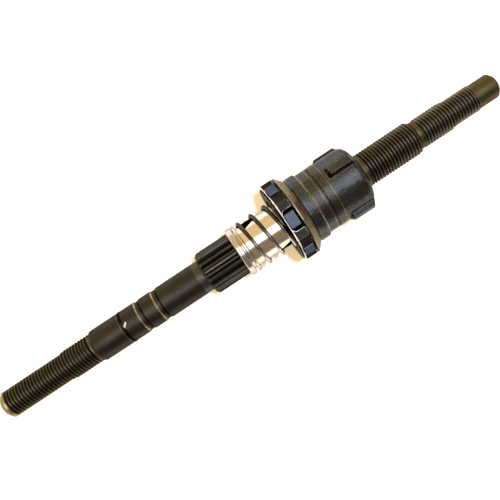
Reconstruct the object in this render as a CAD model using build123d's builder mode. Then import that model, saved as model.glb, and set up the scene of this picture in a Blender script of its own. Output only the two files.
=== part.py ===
"""Axle of an internally geared bicycle hub, with its sprung dog clutch and lugged driver.

The axle lies along X with its long threaded end at -X. The origin is on the axle's
centre line, half way between its ends, and +Z is up. All lengths are in millimetres.
"""

import os
from math import cos, pi, radians, sin

from build123d import *

os.makedirs("parts", exist_ok=True)

# Clearances: a turning or sliding fit, a seat between fixed pieces, a gap before a face
running_clearance = 0.05
seat_clearance = 0.02
face_gap = 0.15
key_clearance = 0.1

# Overrun of a cutting shape past the surface it cuts
cutter_margin = 1.0

# Axle diameters
thin_thread_diameter = 9.6
shaft_diameter = 10.6
journal_diameter = 11.5
thick_thread_diameter = 11.1
relief_diameter = 9.2
pilot_diameter = 8.25

# Axle lengths, from the left end to the right
left_thread_length = 33.8
shoulder_length = 0.6
shaft_length = 40.2
pinion_length = 11.9
sleeve_bay_length = 18.7
journal_length = 28.9
thick_thread_length = 18.2
relief_length = 1.3
right_thread_length = 20.7
pilot_length = 7.7

# Axle details
end_chamfer = 1.6
pilot_chamfer = 0.9
thread_end_chamfer = 0.6
flats_across = 8.65
flat_length_left = 22.5
flat_length_right = 9.2
flat_run_out = 1.6
groove_depth = 0.28
groove_width = 1.7
groove_setbacks = (16.45, 22.7)
wire_groove_setback = 10.3
journal_step_setback = 1.4

# Sun pinion, cut in one piece with the axle
pinion_teeth = 16
pinion_tip_diameter = 14.4
pinion_root_diameter = 11.5
tooth_tip_share = 0.34
tooth_root_share = 0.66
pinion_phase = 86.3
pinion_end_chamfer = 0.75
tooth_foot_sink = 0.1
tooth_flank_bulge = 0.1

# Lock wire in the first groove
lock_wire_diameter = 0.8
lock_wire_gap_angle = 24.0
lock_wire_phase = 91.0
lock_wire_tail = 2.2
lock_wire_tail_slope = 42.0

# Spring collar, guide sleeve and the keys in its windows
collar_length = 1.9
collar_radius = 8.3
collar_gap = 0.2
collar_chamfer = 0.25
sleeve_radius = 6.9
sleeve_length = 16.4
window_width = 5.6
window_length = 4.6
window_slant = 24.0
window_angles = (14.0, 175.0)
window_setbacks = (4.7, 12.6)
key_rear_radius = 7.1

# Spring
spring_wire_diameter = 1.1
spring_inner_radius = 7.25
spring_open_turns = 2.7
spring_closed_turns = 0.75
spring_phase = 4.4
spring_blend_turns = 0.16
spring_points_per_turn = 8
wire_sides = 6

# Dog wheel and the slotted ring round it
wheel_disc_overhang = 2.0
wheel_disc_thickness = 0.4
spring_seat_depth = 1.8
spring_seat_margin = 0.5
wheel_body_radius = 10.6
dog_count = 6
dog_phase = 93.0
dog_standout = 2.0
dog_tip_width = 4.7
dog_root_width = 6.7
dog_length = 3.25
ring_wall_at_flats = 1.1
ring_wall_at_corners = 2.9
ring_length = 4.4
ring_rim = 0.65
ring_edge_chamfer = 0.25
slot_width = 7.0
slot_corner_radius = 1.2
ring_end_setback = 19.0
hexagon_sides = 6
spigot_across_flats = 16.4
clutch_travel = 4.5
spigot_grip = 1.9

# Driver
flange_rim_length = 0.4
flange_cone_length = 2.3
band_radius = 11.2
band_length = 3.55
band_chamfer = 0.35
driver_radius = 10.35
driver_length = 24.0
driver_end_rounding = 2.6
driver_end_facets = 5
driver_end_lip = 7.0
seam_setback = 10.0
seam_width = 0.35
seam_depth = 0.25
shoulder_setback = 12.75
shoulder_height = 0.12
lug_angles = (-19.0, 62.0, 162.0, 242.0)
lug_radius = 11.7
lug_tip_width = 2.4
lug_root_width = 3.6
lug_length = 9.1
lug_setback = 13.6
lug_front_slope = 1.2
lug_back_slope = 0.8
bush_wall = 1.2
bush_end_setback = 0.5
socket_end_gap = 0.4

# Stations along the axle
overall_length = (
    left_thread_length + shoulder_length + shaft_length + pinion_length
    + sleeve_bay_length + journal_length + thick_thread_length + relief_length
    + right_thread_length + pilot_length
)
x_left = -overall_length / 2
x_shoulder = x_left + left_thread_length
x_shaft = x_shoulder + shoulder_length
x_pinion = x_shaft + shaft_length
x_bay = x_pinion + pinion_length
x_journal = x_bay + sleeve_bay_length
x_thick_thread = x_journal + journal_length
x_relief = x_thick_thread + thick_thread_length
x_right_thread = x_relief + relief_length
x_pilot = x_right_thread + right_thread_length
x_right = x_pilot + pilot_length
x_wire_groove = x_shaft + wire_groove_setback
wire_groove_width = lock_wire_diameter + 2 * seat_clearance
wire_groove_depth = lock_wire_diameter / 2

x_collar = x_bay + collar_gap
x_sleeve = x_collar + collar_length
sleeve_bore_radius = shaft_diameter / 2 + seat_clearance
spring_mean_radius = spring_inner_radius + spring_wire_diameter / 2
x_ring_end = x_sleeve + ring_end_setback
x_driver = x_ring_end + face_gap
x_ring = x_ring_end - ring_length
x_wheel_disc = x_ring - wheel_disc_thickness
x_dog = x_ring + ring_rim + seat_clearance
wheel_disc_radius = wheel_body_radius + wheel_disc_overhang
dog_height = wheel_body_radius + dog_standout
ring_across_flats = 2 * (wheel_body_radius + ring_wall_at_flats)
ring_corner_radius = wheel_body_radius + ring_wall_at_corners
flange_radius = ring_corner_radius


def radial_plane(angle, x=0.0):
    """Plane through the axis at x, facing outward at angle degrees from +Y towards +Z."""
    outward = (0, cos(radians(angle)), sin(radians(angle)))
    return Plane(origin=(x, 0, 0), x_dir=(1, 0, 0), z_dir=outward)


def revolved_profile(points):
    """Face in the XY plane through (x, radius) points, ready to be revolved about X."""
    with BuildSketch(Plane.XY) as profile:
        with BuildLine():
            Polyline(*points, close=True)
        make_face()
    return profile.sketch


def groove_points(x, width, depth, radius):
    """Corners of a square groove that starts at x in a shaft of the given radius."""
    return [
        (x, radius),
        (x, radius - depth),
        (x + width, radius - depth),
        (x + width, radius),
    ]


# Axle: turned from bar, with threads at their outside diameter
thin = thin_thread_diameter / 2
shaft = shaft_diameter / 2
journal = journal_diameter / 2
thick = thick_thread_diameter / 2
relief = relief_diameter / 2
pilot = pilot_diameter / 2
axle_outline = [
    (x_left, 0),
    (x_left, thin - end_chamfer),
    (x_left + end_chamfer, thin),
    (x_shoulder, thin),
    (x_shaft, shaft),
    *groove_points(x_wire_groove, wire_groove_width, wire_groove_depth, shaft),
]
for setback in groove_setbacks:
    axle_outline += groove_points(x_shaft + setback, groove_width, groove_depth, shaft)
axle_outline += [
    (x_journal, shaft),
    (x_journal, journal),
    (x_thick_thread - journal_step_setback, journal),
    (x_thick_thread - journal_step_setback, thick),
    (x_relief - thread_end_chamfer, thick),
    (x_relief, thick - thread_end_chamfer),
    (x_relief, relief),
    (x_right_thread, relief),
    (x_right_thread, thin - thread_end_chamfer / 2),
    (x_right_thread + thread_end_chamfer / 2, thin),
    (x_pilot - thread_end_chamfer, thin),
    (x_pilot, pilot),
    (x_right - pilot_chamfer, pilot),
    (x_right, pilot - pilot_chamfer),
    (x_right, 0),
]
wire_radius = lock_wire_diameter / 2
wire_ring_radius = shaft - wire_groove_depth + wire_radius
x_wire = x_wire_groove + wire_groove_width / 2
tail_plane = radial_plane(lock_wire_phase, x_wire)
tail_direction = (
    tail_plane.x_dir * cos(radians(lock_wire_tail_slope))
    + tail_plane.y_dir * sin(radians(lock_wire_tail_slope))
)
tail_nick_centre = (
    lock_wire_tail / 2 * cos(radians(lock_wire_tail_slope)),
    lock_wire_tail / 2 * sin(radians(lock_wire_tail_slope)),
)
nick_floor = wire_ring_radius - wire_radius - seat_clearance
tip_radius = pinion_tip_diameter / 2
root_radius = pinion_root_diameter / 2
tooth_pitch_angle = 2 * pi / pinion_teeth
tooth_tip_half = tip_radius * tooth_pitch_angle * tooth_tip_share / 2
tooth_root_half = root_radius * tooth_pitch_angle * tooth_root_share / 2
tooth_foot = root_radius - tooth_foot_sink
tooth_middle = (root_radius + tip_radius) / 2 + tooth_flank_bulge
tooth_middle_half = (tooth_root_half + tooth_tip_half) / 2
with BuildSketch() as tooth:
    with BuildLine():
        Spline(
            (tooth_foot, -tooth_root_half),
            (tooth_middle, -tooth_middle_half),
            (tip_radius, -tooth_tip_half),
        )
        Line((tip_radius, -tooth_tip_half), (tip_radius, tooth_tip_half))
        Spline(
            (tip_radius, tooth_tip_half),
            (tooth_middle, tooth_middle_half),
            (tooth_foot, tooth_root_half),
        )
        Line((tooth_foot, tooth_root_half), (tooth_foot, -tooth_root_half))
    make_face()
with BuildPart() as axle:
    add(revolved_profile(axle_outline))
    revolve(axis=Axis.X)
    with BuildSketch(Plane.YZ.offset(x_pinion)):
        Circle(root_radius)
        with PolarLocations(0, pinion_teeth, start_angle=pinion_phase):
            add(tooth.sketch)
    extrude(amount=pinion_length)
    chamfer_outline = [
        (x_pinion - cutter_margin, tip_radius + cutter_margin),
        (x_pinion - cutter_margin, tip_radius - pinion_end_chamfer - cutter_margin),
        (x_pinion + pinion_end_chamfer + cutter_margin, tip_radius + cutter_margin),
    ]
    add(revolved_profile(chamfer_outline))
    revolve(axis=Axis.X, mode=Mode.SUBTRACT)
    for x_end, length, inward in (
        (x_left, flat_length_left, 1),
        (x_pilot, -flat_length_right, -1),
    ):
        with BuildSketch(Plane.XY.offset(-thin)):
            with BuildLine():
                Polyline(
                    (x_end - inward * cutter_margin, flats_across / 2),
                    (x_end + length, flats_across / 2),
                    (x_end + length + inward * flat_run_out, thin),
                    (x_end + length + inward * flat_run_out, thin + cutter_margin),
                    (x_end - inward * cutter_margin, thin + cutter_margin),
                    close=True,
                )
            make_face()
            mirror(about=Plane.XZ)
        extrude(amount=2 * thin, mode=Mode.SUBTRACT)
    with BuildSketch(tail_plane.offset(nick_floor)):
        with Locations(tail_nick_centre):
            SlotCenterToCenter(
                lock_wire_tail, lock_wire_diameter + 2 * seat_clearance,
                rotation=lock_wire_tail_slope,
            )
    extrude(amount=lock_wire_diameter, mode=Mode.SUBTRACT)
axle.part.label = "axle"
export_step(axle.part, "parts/axle.step")

# Lock wire: an open ring sprung into the first groove, with its tail bent into a nick
wire_arc_plane = Plane(origin=(x_wire, 0, 0), x_dir=tail_plane.z_dir, z_dir=(1, 0, 0))
with BuildPart() as lock_wire:
    with BuildLine(wire_arc_plane):
        CenterArc((0, 0), wire_ring_radius, 0, 360 - lock_wire_gap_angle)
    wire_start = wire_arc_plane.from_local_coords((wire_ring_radius, 0, 0))
    with BuildSketch(Plane(wire_start, x_dir=(1, 0, 0), z_dir=wire_arc_plane.y_dir)):
        RegularPolygon(wire_radius, wire_sides)
    sweep()
    with BuildSketch(Plane(wire_start, x_dir=tail_plane.z_dir, z_dir=tail_direction)):
        Circle(wire_radius)
    extrude(amount=lock_wire_tail)
lock_wire.part.label = "lock_wire"
export_step(lock_wire.part, "parts/lock_wire.step")

# Spring collar: a flat ring against the pinion's end
with BuildPart() as spring_collar:
    with BuildSketch(Plane.YZ.offset(x_collar)):
        Circle(collar_radius)
        Circle(sleeve_bore_radius, mode=Mode.SUBTRACT)
    extrude(amount=collar_length)
    collar_rims = spring_collar.edges().filter_by(GeomType.CIRCLE).group_by(SortBy.RADIUS)[-1]
    chamfer(collar_rims, collar_chamfer)
spring_collar.part.label = "spring_collar"
export_step(spring_collar.part, "parts/spring_collar.step")


def window_prism(setback, angle, shrink, reach):
    """Slanted window block at a polar angle, smaller all round by shrink."""
    plane = radial_plane(angle, x_sleeve + setback)
    with BuildPart() as prism:
        with BuildSketch(plane):
            Rectangle(
                window_length - 2 * shrink, window_width - 2 * shrink, rotation=window_slant
            )
        extrude(amount=reach)
    return prism.part


# Guide sleeve: the spring's guide, with a slanted window on each side
with BuildPart() as guide_sleeve:
    with BuildSketch(Plane.YZ.offset(x_sleeve)):
        Circle(sleeve_radius)
        Circle(sleeve_bore_radius, mode=Mode.SUBTRACT)
    extrude(amount=sleeve_length)
    for setback, angle in zip(window_setbacks, window_angles):
        add(window_prism(setback, angle, 0, sleeve_radius + cutter_margin), mode=Mode.SUBTRACT)
guide_sleeve.part.label = "guide_sleeve"
export_step(guide_sleeve.part, "parts/guide_sleeve.step")

# Keys: a curved block that fills each window and seats on the shaft
key_front_radius = sleeve_radius - seat_clearance
for name, key_radius, setback, angle in zip(
    ("key_rear", "key_front"), (key_rear_radius, key_front_radius), window_setbacks, window_angles
):
    with BuildPart() as key:
        with BuildSketch(Plane.YZ.offset(x_sleeve)):
            Circle(key_radius)
            Circle(sleeve_bore_radius, mode=Mode.SUBTRACT)
        extrude(amount=sleeve_length)
        key_block = window_prism(setback, angle, key_clearance, sleeve_radius + cutter_margin)
        add(key_block, mode=Mode.INTERSECT)
    key.part.label = name
    export_step(key.part, f"parts/{name}.step")

# Spring: right-hand coil with closed ends, its round wire drawn with few sides
closed_pitch = spring_wire_diameter + seat_clearance
spring_seat_gap = spring_wire_diameter / 2 + seat_clearance
x_spring_start = x_sleeve + spring_seat_gap
x_spring_end = x_wheel_disc + spring_seat_depth - spring_seat_gap
closed_rise = closed_pitch * spring_closed_turns
open_rise = x_spring_end - x_spring_start - 2 * closed_rise


def spring_station(turn):
    """Distance along X at a turn of the spring, counted from its left end."""
    if turn < spring_closed_turns:
        return x_spring_start + closed_pitch * turn
    if turn > spring_closed_turns + spring_open_turns:
        return x_spring_end - closed_pitch * (spring_turns - turn)
    open_share = (turn - spring_closed_turns) / spring_open_turns
    return x_spring_start + closed_rise + open_rise * open_share


spring_turns = 2 * spring_closed_turns + spring_open_turns
spring_points = []
spring_steps = round(spring_turns * spring_points_per_turn)
for step in range(spring_steps + 1):
    turn = spring_turns * step / spring_steps
    nearby = [turn + spring_blend_turns * share for share in (-0.5, -0.25, 0, 0.25, 0.5)]
    stations = [spring_station(min(max(place, 0), spring_turns)) for place in nearby]
    x = sum(stations) / len(stations)
    turned = radians(spring_phase + 360 * turn)
    spring_points.append((x, spring_mean_radius * cos(turned), spring_mean_radius * sin(turned)))
with BuildPart() as spring:
    with BuildLine() as spring_path:
        Spline(*spring_points)
    with BuildSketch(Plane(spring_path.line @ 0, z_dir=spring_path.line % 0)):
        RegularPolygon(spring_wire_diameter / 2, wire_sides)
    sweep(path=spring_path.line)
spring.part.label = "spring"
export_step(spring.part, "parts/spring.step")

# Dog wheel: disc with a seat for the spring, body on the sleeve, six dogs and a hexagonal spigot
wheel_bore_radius = sleeve_radius + running_clearance
x_body_end = x_dog + dog_length
spigot_length = clutch_travel + spigot_grip


def slot_outline(angle, shrink, height):
    """Radial prism of a slot at a polar angle, smaller all round by shrink."""
    with BuildPart() as prism:
        with BuildSketch(radial_plane(angle)) as outline:
            with Locations((x_ring + ring_rim + shrink, 0)):
                Rectangle(
                    2 * ring_length, slot_width - 2 * shrink, align=(Align.MIN, Align.CENTER)
                )
            fillet(outline.vertices().group_by(Axis.X)[0], slot_corner_radius - shrink)
        extrude(amount=height)
    return prism.part


with BuildPart() as dog:
    with BuildSketch(Plane.YZ.offset(x_dog)):
        Polygon(
            (wheel_body_radius - cutter_margin, -dog_root_width / 2),
            (wheel_body_radius, -dog_root_width / 2),
            (dog_height, -dog_tip_width / 2),
            (dog_height, dog_tip_width / 2),
            (wheel_body_radius, dog_root_width / 2),
            (wheel_body_radius - cutter_margin, dog_root_width / 2),
            align=None,
        )
    extrude(amount=dog_length)
    add(slot_outline(0, seat_clearance, dog_height + cutter_margin), mode=Mode.INTERSECT)
with BuildPart() as dog_wheel:
    with BuildSketch(Plane.YZ.offset(x_wheel_disc)):
        Circle(wheel_disc_radius)
    extrude(amount=wheel_disc_thickness)
    with BuildSketch(Plane.YZ.offset(x_ring)):
        Circle(wheel_body_radius)
    extrude(amount=x_body_end - x_ring)
    for k in range(dog_count):
        add(dog.part.rotate(Axis.X, dog_phase + 360 / dog_count * k))
    with BuildSketch(Plane.YZ.offset(x_body_end)):
        RegularPolygon(
            spigot_across_flats / 2, hexagon_sides, major_radius=False, rotation=dog_phase
        )
    extrude(amount=spigot_length)
    with BuildSketch(Plane.YZ.offset(x_wheel_disc)):
        Circle(spring_mean_radius + spring_wire_diameter / 2 + spring_seat_margin)
    extrude(amount=spring_seat_depth, mode=Mode.SUBTRACT)
    with BuildSketch(Plane.YZ.offset(x_wheel_disc)):
        Circle(wheel_bore_radius)
    extrude(amount=x_body_end + spigot_length - x_wheel_disc, mode=Mode.SUBTRACT)
dog_wheel.part.label = "dog_wheel"
export_step(dog_wheel.part, "parts/dog_wheel.step")

# Slotted ring: turned hexagon round the dogs, with a slot for each open to the driver
with BuildPart() as slotted_ring:
    with BuildSketch(Plane.YZ.offset(x_ring)):
        RegularPolygon(
            ring_across_flats / 2, hexagon_sides, major_radius=False,
            rotation=dog_phase - 180 / hexagon_sides,
        )
    extrude(amount=ring_length)
    turned_outline = [
        (x_ring, 0),
        (x_ring, ring_corner_radius - ring_edge_chamfer),
        (x_ring + ring_edge_chamfer, ring_corner_radius),
        (x_ring_end, ring_corner_radius),
        (x_ring_end, 0),
    ]
    add(revolved_profile(turned_outline))
    revolve(axis=Axis.X, mode=Mode.INTERSECT)
    with BuildSketch(Plane.YZ.offset(x_ring)):
        Circle(wheel_body_radius + seat_clearance)
    extrude(amount=ring_length, mode=Mode.SUBTRACT)
    for k in range(dog_count):
        angle = dog_phase + 360 / dog_count * k
        add(slot_outline(angle, 0, ring_corner_radius + cutter_margin), mode=Mode.SUBTRACT)
slotted_ring.part.label = "slotted_ring"
export_step(slotted_ring.part, "parts/slotted_ring.step")

# Driver: turned drum with a conical flange, a seam groove and four sprocket lugs
x_band = x_driver + flange_rim_length + flange_cone_length
x_body = x_band + band_length
x_driver_end = x_driver + driver_length
x_round = x_driver_end - driver_end_rounding
end_drop = driver_radius - driver_end_lip
end_curve = []
for step in range(driver_end_facets + 1):
    turned = pi / 2 * step / driver_end_facets
    end_curve.append(
        (x_round + driver_end_rounding * sin(turned), driver_end_lip + end_drop * cos(turned))
    )
x_seam = x_driver + seam_setback
x_lug_shoulder = x_driver + shoulder_setback
x_lug = x_driver + lug_setback
x_lug_end = x_lug + lug_length
x_socket_floor = x_body_end + spigot_length + socket_end_gap
bush_outer_radius = journal + running_clearance + bush_wall
with BuildPart() as driver:
    with BuildSketch(Plane.XY) as drum_profile:
        with BuildLine():
            Polyline(
                (x_driver, 0),
                (x_driver, flange_radius),
                (x_driver + flange_rim_length, flange_radius),
                (x_band, band_radius - band_chamfer),
                (x_band + band_chamfer, band_radius),
                (x_body - band_chamfer, band_radius),
                (x_body, band_radius - band_chamfer),
                (x_body, driver_radius + shoulder_height),
                (x_seam, driver_radius + shoulder_height),
                (x_seam, driver_radius - seam_depth),
                (x_seam + seam_width, driver_radius - seam_depth),
                (x_seam + seam_width, driver_radius + shoulder_height),
                (x_lug_shoulder, driver_radius + shoulder_height),
                (x_lug_shoulder, driver_radius),
                *end_curve,
                (x_driver_end, 0),
                (x_driver, 0),
            )
        make_face()
    revolve(axis=Axis.X)
    lug_half_tip = lug_tip_width / 2
    lug_half_root = lug_root_width / 2
    with BuildSketch(Plane.YZ.offset(x_lug)):
        for angle in lug_angles:
            with PolarLocations(0, 1, start_angle=angle):
                Polygon(
                    (bush_outer_radius + cutter_margin, -lug_half_root),
                    (driver_radius, -lug_half_root),
                    (lug_radius, -lug_half_tip),
                    (lug_radius, lug_half_tip),
                    (driver_radius, lug_half_root),
                    (bush_outer_radius + cutter_margin, lug_half_root),
                    align=None,
                )
    extrude(amount=lug_length)
    lug_front_outline = [
        (x_lug, driver_radius),
        (x_lug + lug_front_slope, lug_radius),
        (x_lug + lug_front_slope, lug_radius + cutter_margin),
        (x_lug - cutter_margin, lug_radius + cutter_margin),
        (x_lug - cutter_margin, driver_radius + shoulder_height),
        (x_lug, driver_radius + shoulder_height),
    ]
    lug_back_outline = [
        (x_lug_end, driver_radius),
        (x_lug_end - lug_back_slope, lug_radius),
        (x_lug_end - lug_back_slope, lug_radius + cutter_margin),
        (x_lug_end + cutter_margin, lug_radius + cutter_margin),
        (x_lug_end + cutter_margin, driver_radius),
    ]
    add(revolved_profile(lug_front_outline))
    revolve(axis=Axis.X, mode=Mode.SUBTRACT)
    add(revolved_profile(lug_back_outline))
    revolve(axis=Axis.X, mode=Mode.SUBTRACT)
    with BuildSketch(Plane.YZ.offset(x_driver)):
        Circle(bush_outer_radius)
    extrude(amount=driver_length, mode=Mode.SUBTRACT)
    with BuildSketch(Plane.YZ.offset(x_driver)):
        RegularPolygon(
            spigot_across_flats / 2 + running_clearance, hexagon_sides,
            major_radius=False, rotation=dog_phase,
        )
    extrude(amount=x_socket_floor - x_driver, mode=Mode.SUBTRACT)
driver.part.label = "driver"
export_step(driver.part, "parts/driver.step")

# Bush: plain bearing that fills the driver's bore and runs on the axle's journal
with BuildPart() as driver_bush:
    with BuildSketch(Plane.YZ.offset(x_socket_floor)):
        Circle(bush_outer_radius - seat_clearance)
        Circle(journal + running_clearance, mode=Mode.SUBTRACT)
    extrude(amount=x_driver_end - bush_end_setback - x_socket_floor)
driver_bush.part.label = "driver_bush"
export_step(driver_bush.part, "parts/driver_bush.step")
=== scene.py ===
"""Dressed model of a bicycle gear hub's axle: threads, sun pinion, spring and oil-blacked steels.

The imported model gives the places. The axle lies along X, seen from above, and every
length here is in millimetres, turned to metres by MM where a mesh is made.
"""

import math

import bmesh
import bpy
from mathutils import Matrix, Vector


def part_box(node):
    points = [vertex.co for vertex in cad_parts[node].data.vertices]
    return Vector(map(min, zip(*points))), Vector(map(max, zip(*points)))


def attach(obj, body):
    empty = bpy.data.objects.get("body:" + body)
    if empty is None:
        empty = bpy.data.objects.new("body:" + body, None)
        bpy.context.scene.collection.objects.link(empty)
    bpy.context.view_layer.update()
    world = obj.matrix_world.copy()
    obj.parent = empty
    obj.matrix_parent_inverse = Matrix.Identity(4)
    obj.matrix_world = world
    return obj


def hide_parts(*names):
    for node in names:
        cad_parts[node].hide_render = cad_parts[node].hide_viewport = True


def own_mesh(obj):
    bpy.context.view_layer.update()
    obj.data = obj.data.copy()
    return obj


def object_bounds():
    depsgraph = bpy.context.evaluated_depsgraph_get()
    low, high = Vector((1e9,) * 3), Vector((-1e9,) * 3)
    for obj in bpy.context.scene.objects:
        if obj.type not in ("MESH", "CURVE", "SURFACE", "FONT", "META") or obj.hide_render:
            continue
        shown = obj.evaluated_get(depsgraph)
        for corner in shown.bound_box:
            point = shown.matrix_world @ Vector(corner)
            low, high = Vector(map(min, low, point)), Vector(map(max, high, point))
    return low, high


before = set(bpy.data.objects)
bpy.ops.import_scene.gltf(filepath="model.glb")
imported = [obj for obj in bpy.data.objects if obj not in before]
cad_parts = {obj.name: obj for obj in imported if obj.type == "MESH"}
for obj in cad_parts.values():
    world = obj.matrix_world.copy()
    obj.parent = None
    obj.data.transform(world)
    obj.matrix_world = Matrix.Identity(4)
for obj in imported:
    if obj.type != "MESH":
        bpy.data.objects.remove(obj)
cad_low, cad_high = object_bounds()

MM = 0.001

# Axle sizes, from its left end
left_end = cad_low.x / MM
right_end = cad_high.x / MM
thin_thread_radius = 4.8
thick_thread_radius = 5.55
shaft_radius = 5.3
journal_radius = 5.75
relief_radius = 4.6
pilot_radius = 4.125
pinion_tip_radius = 7.2
flat_distance = 4.325
thread_pitch = 25.4 / 24
thread_depth = 0.61 * thread_pitch
x_shoulder = left_end + 33.8
x_shaft = x_shoulder + 0.6
x_pinion = x_shaft + 40.2
pinion_length = 11.9
x_bay = x_pinion + pinion_length
x_journal = x_bay + 18.7
x_thick_thread = x_journal + 28.9
x_thread_start = x_thick_thread - 0.8
x_relief = x_thick_thread + 18.2
x_right_thread = x_relief + 1.3
x_pilot = x_right_thread + 20.7
left_flat_length = 22.5
right_flat_length = 9.2
flat_run_out = 1.6
end_chamfer = 1.6
end_dome = 1.6
pilot_chamfer = 0.9
edge_ease = 0.12

# Grooves in the shaft: one for the lock wire, two plain ones, and a shallow one by the pinion
x_wire_groove = x_shaft + 10.3
wire_groove_width = 0.84
groove_starts = (x_shaft + 16.45, x_shaft + 22.7)
groove_width = 1.7
x_shallow_groove = x_pinion - 2.6
shallow_groove_width = 2.1

# Fineness of the meshes
round_segments = 144
sharp_angle = math.radians(32)
worn_edge_angle = math.radians(28)


# Meshes

def finished_piece(name, bm, body, material, replaced):
    """Turns a mesh in millimetres into a smooth-shaded piece that rides on a body."""
    bmesh.ops.scale(bm, vec=(MM, MM, MM), verts=bm.verts)
    bmesh.ops.recalc_face_normals(bm, faces=bm.faces)
    mesh = bpy.data.meshes.new(name)
    bm.to_mesh(mesh)
    bm.free()
    mesh.shade_smooth()
    mesh.set_sharp_from_angle(angle=sharp_angle)
    mesh.materials.append(material)
    piece = bpy.data.objects.new(name, mesh)
    bpy.context.scene.collection.objects.link(piece)
    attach(piece, body)
    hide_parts(*replaced)
    return piece


def skin_rows(rows):
    """Closed skin over rows of points, each row a ring round the axis, capped at both ends."""
    bm = bmesh.new()
    rings = [[bm.verts.new(point) for point in row] for row in rows]
    for here, there in zip(rings, rings[1:]):
        for k in range(len(here)):
            following = (k + 1) % len(here)
            bm.faces.new((here[k], here[following], there[following], there[k]))
    bm.faces.new(rings[0])
    bm.faces.new(rings[-1])
    return bm


def eased_outline(outline, ease):
    """Outline of (x, radius) points with each inner corner cut by a small ease."""
    longest_share = 0.4
    eased = [outline[0]]
    for before, corner, after in zip(outline, outline[1:], outline[2:]):
        for other in (before, after):
            run = math.dist(corner, other)
            share = min(ease, run * longest_share) / run
            eased.append(tuple(c + (o - c) * share for c, o in zip(corner, other)))
    return eased + [outline[-1]]


def turned_mesh(outline):
    """Turned piece from an outline of (x, radius) points."""
    angles = [2 * math.pi * k / round_segments for k in range(round_segments)]
    rows = []
    for x, radius in eased_outline(outline, edge_ease):
        rows.append([(x, radius * math.cos(a), radius * math.sin(a)) for a in angles])
    return skin_rows(rows)


# Thread form over one pitch: (share of the pitch, share of the depth above the root)
thread_form = (
    (0.0, 1.0), (0.13, 1.0), (0.27, 0.55), (0.42, 0.0), (0.62, 0.0), (0.8, 0.4), (1.0, 1.0),
)


def thread_height(phase):
    """Share of the depth at a phase, in pitches."""
    phase %= 1.0
    for (start, low), (end, high) in zip(thread_form, thread_form[1:]):
        if phase <= end:
            return low + (high - low) * (phase - start) / (end - start)
    return 1.0


def threaded_mesh(
    start, end, crest, radius_limit, run_out_at, flat_limit=None, run_in_at=-math.inf,
):
    """Right-hand thread from start to end, its crest cut by radius_limit and by flats.

    Its depth runs out to nothing at run_out_at, and starts from nothing at run_in_at.
    """
    run_out_length = 1.5 * thread_pitch
    run_in_length = 0.5
    weld_gap = 0.0005
    turns = math.ceil((end - start) / thread_pitch)
    shares = [share for share, height in thread_form[:-1]]
    bm = bmesh.new()
    rings = []
    for turn in range(-1, turns + 1):
        for share in shares:
            ring = []
            for k in range(round_segments + 1):
                x = start + thread_pitch * (turn + share + k / round_segments)
                x = min(max(x, start), end)
                phase = (x - start) / thread_pitch - k / round_segments
                fade = min(1.0, abs(x - run_out_at) / run_out_length)
                depth = thread_depth * min(fade, max(0.0, (x - run_in_at) / run_in_length))
                radius = crest - depth * (1.0 - thread_height(phase))
                radius = min(radius, radius_limit(x))
                angle = 2 * math.pi * k / round_segments
                y, z = radius * math.cos(angle), radius * math.sin(angle)
                if flat_limit:
                    y = max(-flat_limit(x), min(flat_limit(x), y))
                ring.append(bm.verts.new((x, y, z)))
            rings.append(ring)
    for here, there in zip(rings, rings[1:]):
        for k in range(round_segments):
            bm.faces.new((here[k], here[k + 1], there[k + 1], there[k]))
    bmesh.ops.remove_doubles(bm, verts=bm.verts, dist=weld_gap)
    bmesh.ops.holes_fill(bm, edges=[edge for edge in bm.edges if edge.is_boundary])
    return bm


def pinion_mesh():
    """Sun pinion: teeth with round flanks, chamfered where they start on the shaft."""
    teeth = 16
    tip, root = pinion_tip_radius, 5.75
    tip_round = 0.12
    start_chamfer = 0.75
    first_tooth_angle = 86.3
    # Half of one tooth, as (degrees from its middle, radius)
    flank = (
        (0.0, tip), (2.0, tip), (3.0, tip - tip_round), (5.2, 6.6), (7.0, 6.0), (8.3, root),
        (11.25, root),
    )
    tooth = [(-angle, radius) for angle, radius in reversed(flank[1:])]
    tooth += flank[:-1]
    chamfer_rows = [start_chamfer * share for share in (0.0, 1 / 3, 2 / 3, 1.0)]
    rows = []
    for station in chamfer_rows + [6.0, pinion_length - tip_round, pinion_length]:
        limit = min(tip - start_chamfer + station, tip - tip_round + pinion_length - station)
        row = []
        for k in range(teeth):
            for offset, radius in tooth:
                angle = math.radians(first_tooth_angle + 360 / teeth * k + offset)
                cut = min(radius, limit)
                row.append((x_pinion + station, cut * math.cos(angle), cut * math.sin(angle)))
        rows.append(row)
    return skin_rows(rows)


# Spring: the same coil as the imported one, with a round wire
spring_low, spring_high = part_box("spring")
wire_radius = 0.55
spring_mean_radius = 7.8
spring_start = spring_low.x / MM + wire_radius
spring_end = spring_high.x / MM - wire_radius
closed_turns = 0.75
open_turns = 2.7
spring_turns = 2 * closed_turns + open_turns
closed_pitch = 1.12
spring_phase = 4.4


def spring_station(turn):
    """Distance along the axle at a turn of the spring."""
    rise = closed_pitch * closed_turns
    if turn < closed_turns:
        return spring_start + closed_pitch * turn
    if turn > closed_turns + open_turns:
        return spring_end - closed_pitch * (spring_turns - turn)
    share = (turn - closed_turns) / open_turns
    return spring_start + rise + (spring_end - spring_start - 2 * rise) * share


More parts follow.
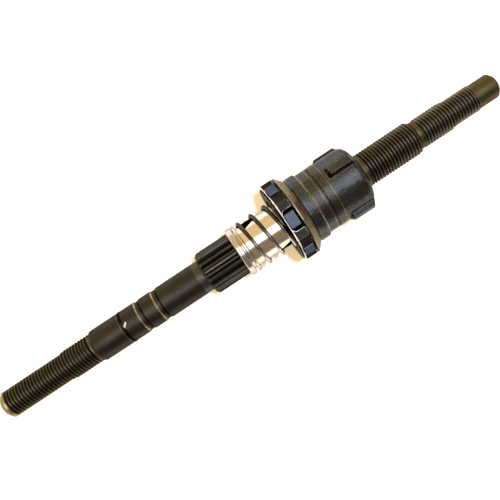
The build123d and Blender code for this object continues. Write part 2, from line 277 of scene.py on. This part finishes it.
def spring_mesh():
    """Coil of round wire, its ends cut square, its pitch blended where the closed turns end."""
    steps = round(spring_turns * 48)
    wire_sides = 20
    # Turns before and after a place whose stations are averaged there
    blend = (-0.08, -0.04, 0.0, 0.04, 0.08)
    forward = Vector((1.0, 0.0, 0.0))
    rows = []
    for step in range(steps + 1):
        turn = spring_turns * step / steps
        near = [min(max(turn + offset, 0.0), spring_turns) for offset in blend]
        x = sum(spring_station(place) for place in near) / len(near)
        angle = math.radians(spring_phase + 360 * turn)
        outward = Vector((0.0, math.cos(angle), math.sin(angle)))
        centre = forward * x + outward * spring_mean_radius
        row = []
        for k in range(wire_sides):
            around = 2 * math.pi * k / wire_sides
            rise, run = wire_radius * math.cos(around), wire_radius * math.sin(around)
            row.append(centre + outward * rise + forward * run)
        rows.append(row)
    return skin_rows(rows)


def eased_copy(name, node, body, material, ease):
    """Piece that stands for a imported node, with its sharp edges eased and marked as worn."""
    weld_gap = 0.002
    flat_angle = math.radians(0.8)
    bm = bmesh.new()
    bm.from_mesh(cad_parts[node].data)
    bmesh.ops.scale(bm, vec=(1 / MM,) * 3, verts=bm.verts)
    bmesh.ops.remove_doubles(bm, verts=bm.verts, dist=weld_gap)
    bmesh.ops.dissolve_limit(bm, angle_limit=flat_angle, verts=bm.verts, edges=bm.edges)
    worn = bm.faces.layers.float.new("worn_edge")
    edges = [e for e in bm.edges if e.is_manifold and e.calc_face_angle() > worn_edge_angle]
    made = bmesh.ops.bevel(
        bm, geom=edges, offset=ease, offset_type="OFFSET", segments=2, profile=0.5,
        affect="EDGES", clamp_overlap=False,
    )
    for face in made["faces"]:
        face[worn] = 1.0
    piece = finished_piece(name, bm, body, material, [node])
    weighted = piece.modifiers.new("weighted", "WEIGHTED_NORMAL")
    weighted.keep_sharp = True
    return piece


# Materials

def colour(code):
    """Linear colour of an sRGB hex code."""
    channels = [int(code[k:k + 2], 16) / 255 for k in (0, 2, 4)]
    linear = [c / 12.92 if c <= 0.04045 else ((c + 0.055) / 1.055) ** 2.4 for c in channels]
    return (*linear, 1.0)


# Sockets of nodes that are given by number below:
# Map Range takes 0 the value, 1 and 2 its range, 3 and 4 the range that this becomes
# Mix takes 0 the share and 6 and 7 its colours, and gives its colour as output 2
mixed_colour = 2


def add_node(tree, kind, inputs=None, output=0, **settings):
    """Adds a node with its settings, socket values and links, and returns one of its outputs."""
    made = tree.nodes.new(kind)
    for name, value in settings.items():
        setattr(made, name, value)
    for socket, value in (inputs or {}).items():
        if isinstance(value, bpy.types.NodeSocket):
            tree.links.new(value, made.inputs[socket])
        else:
            made.inputs[socket].default_value = value
    return made.outputs[output] if made.outputs else None


def new_material(name):
    """Empty material with its shader and output: returns (material, tree, shader)."""
    material = bpy.data.materials.new(name)
    material.use_nodes = True
    tree = material.node_tree
    tree.nodes.clear()
    surface = add_node(tree, "ShaderNodeBsdfPrincipled")
    add_node(tree, "ShaderNodeOutputMaterial", {"Surface": surface})
    return material, tree, surface.node


def grain(tree, size_mm, stretch=(1.0, 1.0, 1.0), detail=3.0):
    """Noise whose grains are size_mm across, drawn out along an axis by stretch."""
    place = add_node(tree, "ShaderNodeTexCoord", output="Object")
    scale = tuple(1.0 / (size_mm * MM * s) for s in stretch)
    mapped = add_node(tree, "ShaderNodeMapping", {"Vector": place, "Scale": scale})
    noise = {"Vector": mapped, "Scale": 1.0, "Detail": detail, "Roughness": 0.6}
    return add_node(tree, "ShaderNodeTexNoise", noise, "Fac")


def along(tree, axis):
    """Distance along an axis, in metres."""
    place = add_node(tree, "ShaderNodeTexCoord", output="Object")
    return add_node(tree, "ShaderNodeSeparateXYZ", {0: place}, axis)


def from_axis(tree):
    """Distance from the axle's centre line, in metres."""
    place = add_node(tree, "ShaderNodeTexCoord", output="Object")
    across = {0: place, 1: (0.0, 1.0, 1.0)}
    flat = add_node(tree, "ShaderNodeVectorMath", across, operation="MULTIPLY")
    return add_node(tree, "ShaderNodeVectorMath", {0: flat}, "Value", operation="LENGTH")


def within(tree, place, low_mm, high_mm):
    """1 where a place lies from low_mm to high_mm, else 0."""
    middle, half_width = (low_mm + high_mm) / 2 * MM, (high_mm - low_mm) / 2 * MM
    span = {0: place, 1: middle, 2: half_width}
    return add_node(tree, "ShaderNodeMath", span, operation="COMPARE")


def oil_blacked_steel(
    name, dark, light, worn, crest_mm=None, crest_share=0.6, zones=(), fleck_and_glint=None, mottle=0.012,
    speck_mm=0.9, smooth=0.3, rim=0.5, painted_sheen_side=0.0,
):
    """Turned steel blacked in hot oil: dark and satin, browner where the film is thin.

    Turning leaves fine rings round the axis, and handling bares the crests and edges.
    Each zone is ((start, end), (inner, outer radius), hex colour, share) of a place whose
    film is thinner, thicker or gone, or where shade or a highlight is painted.
    fleck_and_glint is the colour of small spots where the film has gone, which also stand as
    painted glints, rim is how much a slanting look at the surface shows of its gloss, and
    painted_sheen_side is how far the -Y side is painted as bare steel, a painted reflection
    on that side. The turned rings are coarser than real ones, which are too fine to show.
    """
    cloud_mm, fleck_mm, wear_mm, crest_wear_mm, patch_mm, ring_mm = 3.0, 0.8, 1.4, 1.1, 1.2, 0.22
    ring_depth = 0.2
    material, tree, shader = new_material(name)
    shader.inputs["Metallic"].default_value = 1.0
    shader.inputs["Specular Tint"].default_value = (rim, rim, rim, 1.0)
    station, distance = along(tree, "X"), from_axis(tree)

    # Film: clouds from dark to light, and flecks that also stand as painted glints
    clouds = {0: grain(tree, cloud_mm, (2.0, 1.0, 1.0), 4.0), 1: 0.35, 2: 0.65}
    film = {0: add_node(tree, "ShaderNodeMapRange", clouds), 6: colour(dark), 7: colour(light)}
    body = add_node(tree, "ShaderNodeMix", film, mixed_colour, data_type="RGBA")
    if fleck_and_glint:
        spots = {0: grain(tree, fleck_mm, detail=2.0), 1: 0.6, 2: 0.72}
        fleck_and_glint_mix = {0: add_node(tree, "ShaderNodeMapRange", spots), 6: body, 7: colour(fleck_and_glint)}
        body = add_node(tree, "ShaderNodeMix", fleck_and_glint_mix, mixed_colour, data_type="RGBA")

    # Bare steel on eased edges and on crests, broken up by wear, and bare steel painted on one side
    # as a painted reflection
    worn_edge = add_node(tree, "ShaderNodeAttribute", output="Fac", attribute_name="worn_edge")
    wear = {0: grain(tree, wear_mm), 1: 0.35, 2: 0.55, 3: 0.25, 4: 1.0}
    worn_part = {0: worn_edge, 1: add_node(tree, "ShaderNodeMapRange", wear)}
    wear_and_sheen = add_node(tree, "ShaderNodeMath", worn_part, operation="MULTIPLY")
    if crest_mm:
        low, high = (crest_mm - 0.16) * MM, (crest_mm - 0.04) * MM
        height = {0: distance, 1: low, 2: high, 3: 0.0, 4: crest_share}
        wear = {0: grain(tree, crest_wear_mm), 1: 0.3, 2: 0.6, 3: 0.4, 4: 1.0}
        both = {k: add_node(tree, "ShaderNodeMapRange", v) for k, v in enumerate((height, wear))}
        crest = add_node(tree, "ShaderNodeMath", both, operation="MULTIPLY")
        wear_and_sheen = add_node(tree, "ShaderNodeMath", {0: wear_and_sheen, 1: crest}, operation="MAXIMUM")
    # painted reflection: the -Y side painted as bare steel
    if painted_sheen_side:
        lower = {0: along(tree, "Y"), 1: 1.0 * MM, 2: -4.0 * MM, 3: 0.0, 4: painted_sheen_side}
        side = add_node(tree, "ShaderNodeMapRange", lower)
        wear_and_sheen = add_node(tree, "ShaderNodeMath", {0: wear_and_sheen, 1: side}, operation="MAXIMUM")
    bared = {0: wear_and_sheen, 6: body, 7: colour(worn)}
    body = add_node(tree, "ShaderNodeMix", bared, mixed_colour, data_type="RGBA")

    # Zones, each patchy
    for stretch, band, tint, share in zones:
        zone = {0: within(tree, station, *stretch), 1: within(tree, distance, *band)}
        inside = add_node(tree, "ShaderNodeMath", zone, operation="MULTIPLY")
        patchy = {0: grain(tree, patch_mm, detail=4.0), 1: 0.3, 2: 0.55, 3: 0.55 * share, 4: share}
        patches = {0: inside, 1: add_node(tree, "ShaderNodeMapRange", patchy)}
        cover = add_node(tree, "ShaderNodeMath", patches, operation="MULTIPLY")
        covered = {0: cover, 6: body, 7: colour(tint)}
        body = add_node(tree, "ShaderNodeMix", covered, mixed_colour, data_type="RGBA")
    tree.links.new(body, shader.inputs["Base Color"])

    # Satin surface with specks and turned rings
    speck = grain(tree, speck_mm, detail=2.0)
    satin = {0: speck, 1: 0.3, 2: 0.7, 3: smooth, 4: smooth + 0.12}
    tree.links.new(add_node(tree, "ShaderNodeMapRange", satin), shader.inputs["Roughness"])
    rings = {0: grain(tree, ring_mm, (1.0, 30.0, 30.0), 2.0), 1: ring_depth, 2: speck}
    height = add_node(tree, "ShaderNodeMath", rings, operation="MULTIPLY_ADD")
    bump = {"Height": height, "Distance": mottle * MM, "Strength": 1.0}
    tree.links.new(add_node(tree, "ShaderNodeBump", bump), shader.inputs["Normal"])
    return material


def bright_metal(name, tint, dull, smooth, rough, rim=1.0):
    """Bright metal, ground or bored: clear reflections broken by fine lines of the work.

    The lines are coarser than real ones, which are too fine to show.
    """
    line_mm, line_depth_mm, cloud_mm = 0.12, 0.004, 2.5
    material, tree, shader = new_material(name)
    shader.inputs["Metallic"].default_value = 1.0
    shader.inputs["Specular Tint"].default_value = (rim, rim, rim, 1.0)
    cloud = grain(tree, cloud_mm, detail=4.0)
    share = add_node(tree, "ShaderNodeMapRange", {0: cloud, 1: 0.4, 2: 0.7})
    clouded = {0: share, 6: colour(tint), 7: colour(dull)}
    body = add_node(tree, "ShaderNodeMix", clouded, mixed_colour, data_type="RGBA")
    tree.links.new(body, shader.inputs["Base Color"])
    gloss = {0: cloud, 1: 0.3, 2: 0.7, 3: smooth, 4: rough}
    tree.links.new(add_node(tree, "ShaderNodeMapRange", gloss), shader.inputs["Roughness"])
    lines = grain(tree, line_mm, (1.0, 40.0, 40.0), 2.0)
    bump = {"Height": lines, "Distance": line_depth_mm * MM, "Strength": 1.0}
    tree.links.new(add_node(tree, "ShaderNodeBump", bump), shader.inputs["Normal"])
    return material


# Places on the clutch and the driver
ring_low, ring_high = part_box("slotted_ring")
drum_low, drum_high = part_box("driver")
wire_low, wire_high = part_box("lock_wire")
x_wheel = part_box("dog_wheel")[0].x / MM
x_ring = ring_low.x / MM
x_ring_end = ring_high.x / MM
x_drum = drum_low.x / MM
x_drum_end = drum_high.x / MM
x_cone = x_drum + 0.4
x_band = x_cone + 2.3
x_band_end = x_band + 3.55
x_seam = x_drum + 10.0
x_shoulder_line = x_drum + 12.75
x_lug = x_drum + 13.6
ring_radius = 13.5
dog_radius = 12.6
drum_radius = 10.35
lug_radius = 11.7

# Bands of distance from the axis that zones of film, painted shade and painted highlight cover
outermost = 20.0
anywhere = (0.0, outermost)
lug_foot = drum_radius + 0.12
ring_corners = (ring_radius - 0.5, outermost)

# Ground shaft, blacked: the film is thin and olive; the grooves' left edges are lighter, as wear
# and partly painted highlight, and their right ends carry painted shade
shaft_zones = [
    ((x_shallow_groove, x_shallow_groove + shallow_groove_width), anywhere, "5E5C55", 0.8),
    # light line on the wire groove's left edge: wear and partly painted highlight
    ((x_wire_groove - 0.5, x_wire_groove - 0.15), anywhere, "6A6450", 0.7),
]
for start in groove_starts:
    end = start + groove_width
    # light line on each groove's left edge: wear and partly painted highlight
    shaft_zones.append(((start - 0.25, start + 0.25), anywhere, "A69E84", 0.9))
    # dark band at each groove's right end: painted shade
    shaft_zones.append(((end - 0.45, end + 0.15), anywhere, "0E0D0B", 0.95))
axle_steel = oil_blacked_steel(
    "oil_blacked_axle_steel", "3D3C38", "45443F", "6E6656", smooth=0.33, zones=shaft_zones,
)

# Rolled thread, blacked: crests rubbed a little by nuts, and a domed end coloured pale olive cream
left_thread_steel = oil_blacked_steel(
    "oil_blacked_rolled_thread", "504E45", "5A574B", "D9D3B6", thin_thread_radius, 0.12, rim=0.2,
    zones=(((left_end - 0.1, left_end + 2.2), anywhere, "B3AD88", 1.3),),
)

# Cut threads, blacked: grey-brown flanks, and roots painted near black as painted shade in the
# thread's hollows
thick_root_shade = (0.0, thick_thread_radius - thread_depth + 0.14)
thin_root_shade = (0.0, thin_thread_radius - thread_depth + 0.12)
thread_steel = oil_blacked_steel(
    "oil_blacked_cut_thread", "75726B", "827D72", "A09A8A", rim=0.12,
    zones=(
        ((x_thread_start, x_relief), thick_root_shade, "12110E", 1.2),
        ((x_right_thread, x_pilot), thin_root_shade, "12110E", 1.2),
    ),
)

# Turned journal, relief and pilot, blacked: an olive brown, thin film
end_steel = oil_blacked_steel(
    "oil_blacked_axle_end", "58533F", "625C45", "857C6A", smooth=0.36,
)

# Hobbed teeth, blacked, their tips rubbed grey by the planets
pinion_steel = oil_blacked_steel(
    "oil_blacked_pinion_steel", "40403C", "494844", "A3A19A", pinion_tip_radius, 0.14,
)

# Case-hardened driver, blacked: blue-black, mottled and speckled, olive by its band, darker by its
# right end, with painted light and shade on its cone, flange rim, edges and lugs
driver_steel = oil_blacked_steel(
    "oil_blacked_driver_steel", "454A4F", "51565B", "928F84", mottle=0.12, speck_mm=1.1,
    # bluish flecks: spots where the film has gone, and painted glints
    smooth=0.23, fleck_and_glint="66707F", rim=0.6,
    zones=(
        # tan cone: partly its film and partly a painted reflection of the warm room
        ((x_drum, x_band - 0.1), anywhere, "857C67", 0.85),
        # painted highlight on the flange's rim
        ((x_drum - 0.1, x_cone), (ring_radius - 0.3, outermost), "B4B0A5", 0.6),
        ((x_band_end, x_shoulder_line), anywhere, "57554E", 0.4),
        # light edge line: wear and partly painted highlight
        ((x_band_end - 0.3, x_band_end + 0.2), anywhere, "9B9583", 0.8),
        # light edge line: wear and partly painted highlight
        ((x_seam - 1.1, x_seam - 0.75), anywhere, "85806F", 0.6),
        ((x_seam - 0.2, x_seam + 0.2), anywhere, "12110F", 1.0),
        # light edge line: wear and partly painted highlight
        ((x_shoulder_line - 0.15, x_shoulder_line + 0.15), anywhere, "8F8A7A", 0.7),
        ((x_drum_end - 2.2, x_drum_end - 0.2), anywhere, "2B2A28", 0.6),
        # painted shade on the lugs' left ends
        ((x_lug, x_lug + 1.1), (lug_foot, outermost), "0E0D0D", 1.0),
        # painted shade on the lugs' flanks
        ((x_lug, x_drum_end), (lug_foot, lug_radius - 0.1), "0E0D0D", 0.5),
    ),
)

# Milled ring, blacked: near black, its slots and its left rim rubbed to bare steel
ring_steel = oil_blacked_steel(
    "oil_blacked_ring_steel", "2B2A28", "383630", "E8E6E2", mottle=0.03, rim=0.4,
    zones=(
        ((x_ring + 0.5, x_ring_end), ring_corners, "35332E", 1.2),
        ((x_ring + 0.03, x_ring + 0.5), anywhere, "F2F1EE", 1.3),
        ((x_ring - 0.05, x_ring + 0.03), anywhere, "171615", 1.0),
    ),
)

# Hardened dogs, blued: slate blue on their lands, black on the disc, and near black on their flanks
# as painted shade in the gaps between them
dog_steel = oil_blacked_steel(
    # near black body: painted shade on the dogs' flanks
    "blued_dog_steel_painted_shade", "121212", "191919", "5A5B5E", mottle=0.05, speck_mm=1.2, smooth=0.24,
    rim=0.35,
    zones=(
        ((x_ring + 0.3, x_ring_end), (dog_radius - 0.1, outermost), "505A6A", 1.3),
        ((x_wheel - 0.1, x_ring + 0.3), anywhere, "0E0D0D", 1.3),
    ),
)

# Hardened key: dead black, painted shade of the sleeve's windows that it sits in
key_steel = oil_blacked_steel(
    "key_steel_painted_shade", "0B0B0B", "101010", "2A2826", smooth=0.4, rim=0.1,
)

# Lock wire, blacked, with the film gone from its tail
wire_tail = (wire_low.x / MM + 0.8, wire_high.x / MM + 0.1)
wire_steel = oil_blacked_steel(
    "oil_blacked_lock_wire", "161512", "1E1D1A", "2A2823",
    zones=((wire_tail, anywhere, "E8E4DA", 1.3),),
)

# Drawn wire, dark, painted as bare grey steel towards -Y as a painted reflection on that side, and
# rubbed to bare steel on one end
end_coil = (spring_start - wire_radius, spring_start + 0.7)
spring_wire = oil_blacked_steel(
    "drawn_spring_wire", "4B463D", "575147", "D8D5CF", mottle=0.004, smooth=0.14, painted_sheen_side=0.8,
    zones=((end_coil, anywhere, "D8D5CF", 1.3),),
)

# Ground steel, pale and softly clouded; the sleeve, polished brighter; bored bronze, warm and dull
ground_steel = bright_metal("ground_bright_steel", "E0DEDD", "CAC8C4", 0.14, 0.24, 0.45)
sleeve_steel = bright_metal("polished_sleeve_steel", "F2F0EC", "E2DFD8", 0.12, 0.22, 0.3)
bush_bronze = bright_metal("bored_bronze", "A87A48", "946B3F", 0.3, 0.45)


# Axle

def left_limit(x):
    """Radius of the domed left end at x."""
    run = min(max((x - left_end) / end_chamfer, 0.0), 1.0)
    return thin_thread_radius - end_dome * (1.0 - run) ** 1.3


def flat_ramp(x_full, inward):
    """Distance of the flats from the axis, which run out past x_full."""
    past_thread = thin_thread_radius + 0.05

    def limit(x):
        """Distance of the flats from the axis at x."""
        past = min(max((x - x_full) * inward / flat_run_out, 0.0), 1.0)
        return flat_distance + past * (past_thread - flat_distance)
    return limit


def thick_limit(x):
    """Radius of the thick thread's chamfered end at x."""
    return min(thick_thread_radius, thick_thread_radius - 0.7 + (x_relief - x))


def right_limit(x):
    """Radius of the right thread's two chamfered ends at x."""
    start, end = x - x_right_thread, x_pilot - x
    return min(thin_thread_radius - 0.4 + start, thin_thread_radius - 0.6 + end)


def groove(x, width, depth):
    """Corners of a groove that starts at x in the shaft."""
    inner = shaft_radius - depth
    return [(x, shaft_radius), (x, inner), (x + width, inner), (x + width, shaft_radius)]


def axle_piece(name, bm, material):
    """Piece of the axle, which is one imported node."""
    return finished_piece(name, bm, "axle", material, ["axle"])


left_flats = flat_ramp(left_end + left_flat_length, 1)
axle_piece(
    "left_thread",
    threaded_mesh(
        left_end, x_shoulder, thin_thread_radius, left_limit, x_shoulder, left_flats,
        left_end + 1.9,
    ),
    left_thread_steel,
)

shaft_outline = [(x_shoulder, thin_thread_radius), (x_shaft, shaft_radius)]
shaft_outline += groove(x_wire_groove, wire_groove_width, 0.4)
for start in groove_starts:
    shaft_outline += groove(start, groove_width, 0.28)
shaft_outline += groove(x_shallow_groove, shallow_groove_width, 0.05)
shaft_outline += [(x_pinion, shaft_radius)]
axle_piece("shaft", turned_mesh(shaft_outline), axle_steel)
axle_piece("sun_pinion", pinion_mesh(), pinion_steel)

x_journal_end = x_thread_start - 0.6
journal_outline = [
    (x_bay, shaft_radius),
    (x_journal, shaft_radius),
    (x_journal, journal_radius),
    (x_journal_end, journal_radius),
    (x_journal_end, thick_thread_radius),
    (x_thread_start, thick_thread_radius),
]
axle_piece("journal", turned_mesh(journal_outline), end_steel)

# Full depth from the start, so the thread runs out this far before it
thick_run_out = x_thread_start - 1.6
axle_piece(
    "thick_thread",
    threaded_mesh(x_thread_start, x_relief, thick_thread_radius, thick_limit, thick_run_out),
    thread_steel,
)
relief_outline = [(x_relief, relief_radius), (x_right_thread, relief_radius)]
axle_piece("relief", turned_mesh(relief_outline), end_steel)

right_flats = flat_ramp(x_pilot - right_flat_length, -1)
right_run_out = x_right_thread - 8.0
axle_piece(
    "right_thread",
    threaded_mesh(
        x_right_thread, x_pilot, thin_thread_radius, right_limit, right_run_out, right_flats,
    ),
    thread_steel,
)
pilot_outline = [
    (x_pilot, pilot_radius),
    (right_end - pilot_chamfer, pilot_radius),
    (right_end, pilot_radius - pilot_chamfer),
]
axle_piece("pilot", turned_mesh(pilot_outline), end_steel)

# Spring, given a mesh of its own; on the hub it shortens as the clutch slides
spring = finished_piece(
    "coil_spring", spring_mesh(), "axle", spring_wire, ["spring"],
)
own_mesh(spring)

# Lock wire: in its groove it is set almost level with the shaft, and only its tail stands up
lock_ring_wire = eased_copy(
    "lock_ring_wire", "lock_wire", "axle", wire_steel, 0.03,
)
level = (shaft_radius + 0.1) * MM
groove_end = (x_wire_groove + wire_groove_width) * MM
for vertex in lock_ring_wire.data.vertices:
    distance = math.hypot(vertex.co.y, vertex.co.z)
    if vertex.co.x < groove_end and distance > level:
        vertex.co.y *= level / distance
        vertex.co.z *= level / distance

# What is on the axle, the clutch and the driver
eased_copy("collar", "spring_collar", "axle", ground_steel, 0.08)
eased_copy("sleeve", "guide_sleeve", "axle", sleeve_steel, 0.08)
eased_copy("rear_key", "key_rear", "axle", key_steel, 0.08)
eased_copy("front_key", "key_front", "axle", key_steel, 0.08)
eased_copy("dogs", "dog_wheel", "clutch", dog_steel, 0.12)
eased_copy("ring", "slotted_ring", "clutch", ring_steel, 0.26)
eased_copy("drum", "driver", "driver", driver_steel, 0.07)
eased_copy("bush", "driver_bush", "driver", bush_bronze, 0.08)

# Floor: a sheet of white paper whose glow is cream and dimmer near the object, a painted warm light
# in its shadows, and white further off
floor_z = cad_low.z - 0.0002
reach = 6.0
corners = [(-reach, -reach), (reach, -reach), (reach, reach), (-reach, reach)]
floor_mesh = bpy.data.meshes.new("floor")
floor_mesh.from_pydata([(x, y, floor_z) for x, y in corners], [], [(0, 1, 2, 3)])
floor = bpy.data.objects.new("floor", floor_mesh)
bpy.context.scene.collection.objects.link(floor)

near, far = 0.15, 0.5
floor_paper = bpy.data.materials.new("white_paper")
floor_paper.use_nodes = True
tree = floor_paper.node_tree
tree.nodes.clear()
path = add_node(tree, "ShaderNodeLightPath").node
seen = path.outputs["Is Camera Ray"]
for kind in ("Is Glossy Ray", "Is Transmission Ray"):
    either = {0: seen, 1: path.outputs[kind]}
    seen = add_node(tree, "ShaderNodeMath", either, operation="MAXIMUM")
place = add_node(tree, "ShaderNodeTexCoord", output="Object")
away = add_node(tree, "ShaderNodeVectorMath", {0: place}, "Value", operation="LENGTH")
far_share = add_node(tree, "ShaderNodeMapRange", {0: away, 1: near, 2: far})
# painted warm light: the cream glow near the object tints its shadows
warm_painted_light = {0: far_share, 6: colour("FFE6B8"), 7: colour("FFFFFF")}
tint = add_node(tree, "ShaderNodeMix", warm_painted_light, mixed_colour, data_type="RGBA")
brightness = add_node(tree, "ShaderNodeMapRange", {0: away, 1: near, 2: far, 3: 0.45, 4: 1.0})
strength = add_node(tree, "ShaderNodeMath", {0: seen, 1: brightness}, operation="MULTIPLY")
paper = add_node(tree, "ShaderNodeBsdfDiffuse", {"Color": colour("F4F2EE")})
glow = add_node(tree, "ShaderNodeEmission", {"Color": tint, "Strength": strength})
lit = add_node(tree, "ShaderNodeAddShader", {0: paper, 1: glow})
add_node(tree, "ShaderNodeOutputMaterial", {"Surface": lit})
floor_mesh.materials.append(floor_paper)

# Room light: warm above and beyond the axle, dim on the side before it
scene = bpy.context.scene
world = bpy.data.worlds.new("room")
scene.world = world
world.use_nodes = True
tree = world.node_tree
tree.nodes.clear()
ray = add_node(tree, "ShaderNodeTexCoord", output="Generated")
beyond = add_node(tree, "ShaderNodeSeparateXYZ", {0: ray}, "Y")
warm_share = add_node(tree, "ShaderNodeMapRange", {0: beyond, 1: -0.34, 2: -0.22})
sides = {0: warm_share, 6: colour("8A7862"), 7: colour("EECE96")}
room = add_node(tree, "ShaderNodeMix", sides, mixed_colour, data_type="RGBA")
background = add_node(tree, "ShaderNodeBackground", {"Color": room, "Strength": 1.0})
add_node(tree, "ShaderNodeOutputWorld", {"Surface": background})


def soft_lamp(name, place, lean, size, radiance, tint):
    """Rectangular soft lamp, its long side along the axle, leaning by degrees about X and Y."""
    data = bpy.data.lights.new(name, "AREA")
    data.shape = "RECTANGLE"
    data.size, data.size_y = size
    data.energy = radiance * math.pi * size[0] * size[1]
    data.color = colour(tint)[:3]
    lamp = bpy.data.objects.new(name, data)
    lamp.location = place
    lamp.rotation_euler = (math.radians(lean[0]), math.radians(lean[1]), 0.0)
    scene.collection.objects.link(lamp)
    return lamp


# A long cool lamp for the object alone, and a small one that gives the paper its crisp shadows
window_lamp = soft_lamp(
    "window_lamp", (0.05, 0.02, 0.62), (2.0, 4.0), (1.4, 0.40), 1.6, "DEE9FF",
)
paper_lamp = soft_lamp(
    "paper_lamp", (0.11, 0.0, 0.64), (0.0, 10.0), (0.05, 0.05), 470.0, "D6E5FF",
)
for lamp, state in ((window_lamp, "EXCLUDE"), (paper_lamp, "INCLUDE")):
    receivers = bpy.data.collections.new(lamp.name + "_paper")
    receivers.objects.link(floor)
    receivers.collection_objects[0].light_linking.link_state = state
    lamp.light_linking.receiver_collection = receivers

# Camera: over the axle, turned so that the axle rises to the right
tilt = math.radians(33.5)
right = Vector((math.cos(tilt), -math.sin(tilt), 0.0))
up = Vector((math.sin(tilt), math.cos(tilt), 0.0))
back = Vector((0.0, 0.0, 1.0))
camera_place = Vector((-0.00078, -0.00119, 0.180))
view_width = 0.15625
camera_data = bpy.data.cameras.new("camera")
camera_data.sensor_width = 36.0
camera_data.lens = camera_data.sensor_width * camera_place.z / view_width
camera_data.clip_start = 0.01
camera = bpy.data.objects.new("camera", camera_data)
turn = Matrix((right, up, back)).transposed().to_4x4()
camera.matrix_world = Matrix.Translation(camera_place) @ turn
scene.collection.objects.link(camera)
scene.camera = camera
scene.view_settings.view_transform = "Standard"
